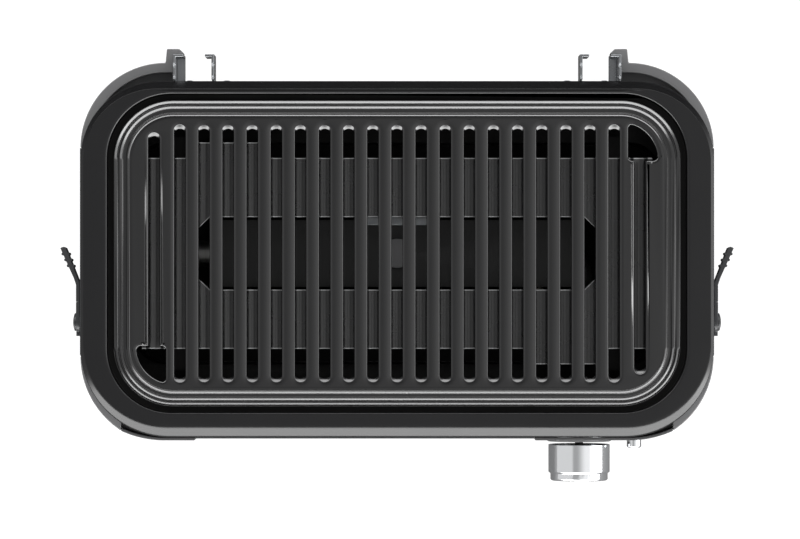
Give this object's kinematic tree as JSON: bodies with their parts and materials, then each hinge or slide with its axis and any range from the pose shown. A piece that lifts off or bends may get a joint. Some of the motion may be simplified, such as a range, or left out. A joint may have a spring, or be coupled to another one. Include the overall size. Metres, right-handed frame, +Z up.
{
  "type": "portable gas grill",
  "caption": "Table-top gas grill with a slotted plate over a gutter plate, a knob, an igniter, end latches, lid hinge plates and a front drip drawer; the lid is left off.",
  "frame": {"origin": "middle of the part's bounding box, on the surface that its rubber feet stand on", "axes": "+Z up, +Y to the hinges at the back, +X to the right seen from the front"},
  "size_m": [0.5, 0.3216, 0.14],
  "materials": {
    "rim_coat": "satin black powder coat",
    "firebox_enamel": "black porcelain enamel",
    "casing_paint": "matt black paint",
    "leg_plastic": "fine moulded texture, dark grey",
    "fascia_plastic": "fine moulded texture, dark grey",
    "panel_plastic": "fine moulded texture, near black",
    "plate_coat": "non-stick coating on cast aluminium, near black",
    "gutter_enamel": "black enamel on pressed steel",
    "cover_enamel": "black enamel",
    "zinc_steel": "zinc plated sheet",
    "stainless": "brushed stainless",
    "fastener_steel": "zinc plated",
    "chrome": "polished chrome plate",
    "knob_plastic": "black moulded plastic",
    "bezel_plastic": "satin dark grey",
    "latch_coat": "black coated steel",
    "grip_plastic": "moulded black plastic",
    "pivot_steel": "blackened steel",
    "brass": "turned brass",
    "piezo_plastic": "black moulded plastic",
    "lead_silicone": "red silicone sleeve",
    "ceramic": "bare alumina",
    "tray_steel": "galvanised sheet",
    "foot_rubber": "moulded black rubber"
  },
  "bodies": {
    "body": {"rim_frame": "rim_coat", "firebox": "firebox_enamel", "firebox_spacers": "zinc_steel", "casing": "casing_paint", "base_pan": "casing_paint", "front_panel": "panel_plastic", "front_left_fascia": "fascia_plastic", "control_panel": "fascia_plastic", "left_side_panel": "panel_plastic", "right_side_panel": "panel_plastic", "front_left_leg": "leg_plastic", "front_right_leg": "leg_plastic", "rear_left_leg": "leg_plastic", "rear_right_leg": "leg_plastic", "rubber_feet": "foot_rubber", "leg_bolts": "fastener_steel", "leg_nuts": "fastener_steel", "left_hinge_outer_plate": "stainless", "left_hinge_inner_plate": "stainless", "right_hinge_outer_plate": "stainless", "right_hinge_inner_plate": "stainless", "hinge_rivets": "fastener_steel", "side_panel_screws": "fastener_steel", "left_latch_pivot": "pivot_steel", "right_latch_pivot": "pivot_steel", "left_latch_washer": "fastener_steel", "right_latch_washer": "fastener_steel", "gutter_rests": "firebox_enamel", "burner_cover": "cover_enamel", "cover_bracket": "zinc_steel", "cover_stands": "zinc_steel", "burner_tube": "stainless", "burner_elbow": "stainless", "burner_saddles": "zinc_steel", "gas_valve": "brass", "valve_screws": "fastener_steel", "gas_nozzle": "brass", "gas_inlet": "brass", "knob_bezel": "bezel_plastic", "igniter_body": "piezo_plastic", "ignition_lead": "lead_silicone", "spark_electrode": "ceramic", "electrode_bracket": "zinc_steel", "left_runner": "zinc_steel", "right_runner": "zinc_steel"},
    "gutter_plate": {"gutter_plate": "gutter_enamel"},
    "grill_plate": {"grill_plate": "plate_coat"},
    "drawer": {"drip_tray": "tray_steel", "drawer_front": "panel_plastic"},
    "left_latch": {"left_latch_strap": "latch_coat", "left_latch_grip": "grip_plastic"},
    "right_latch": {"right_latch_strap": "latch_coat", "right_latch_grip": "grip_plastic"},
    "spindle": {"spindle_washer": "fastener_steel", "valve_spring": "stainless"},
    "knob": {"knob": "chrome", "knob_insert": "knob_plastic", "valve_stem": "knob_plastic"},
    "igniter_button": {"igniter_button": "chrome"}
  },
  "joints": [
    {"name": "gutter_plate_lift", "type": "slide", "parent": "body", "child": "gutter_plate", "axis": [0, 0, 1], "range_m": [0, 0.06]},
    {"name": "grill_plate_lift", "type": "slide", "parent": "gutter_plate", "child": "grill_plate", "axis": [0, 0, 1], "range_m": [0, 0.06]},
    {"name": "drip_drawer_slide", "type": "slide", "parent": "body", "child": "drawer", "axis": [0, -1, 0], "range_m": [0, 0.15]},
    {"name": "left_latch_hinge", "type": "hinge", "parent": "body", "child": "left_latch", "pos_m": [-0.2369, -0.0417, 0.108], "axis": [1, 0, 0], "range_deg": [0, 90]},
    {"name": "right_latch_hinge", "type": "hinge", "parent": "body", "child": "right_latch", "pos_m": [0.2369, -0.0417, 0.108], "axis": [1, 0, 0], "range_deg": [0, 90]},
    {"name": "knob_push", "type": "slide", "parent": "body", "child": "spindle", "axis": [0, 1, 0], "range_m": [0, 0.002], "stiffness_N_per_m": 3000, "springref_m": -0.001},
    {"name": "knob_turn", "type": "hinge", "parent": "spindle", "child": "knob", "pos_m": [0.1365, -0.147, 0.078], "axis": [0, -1, 0], "range_deg": [0, 180]},
    {"name": "igniter_press", "type": "slide", "parent": "body", "child": "igniter_button", "axis": [0, 1, 0], "range_m": [0, 0.004], "stiffness_N_per_m": 1500, "springref_m": -0.002}
  ]
}
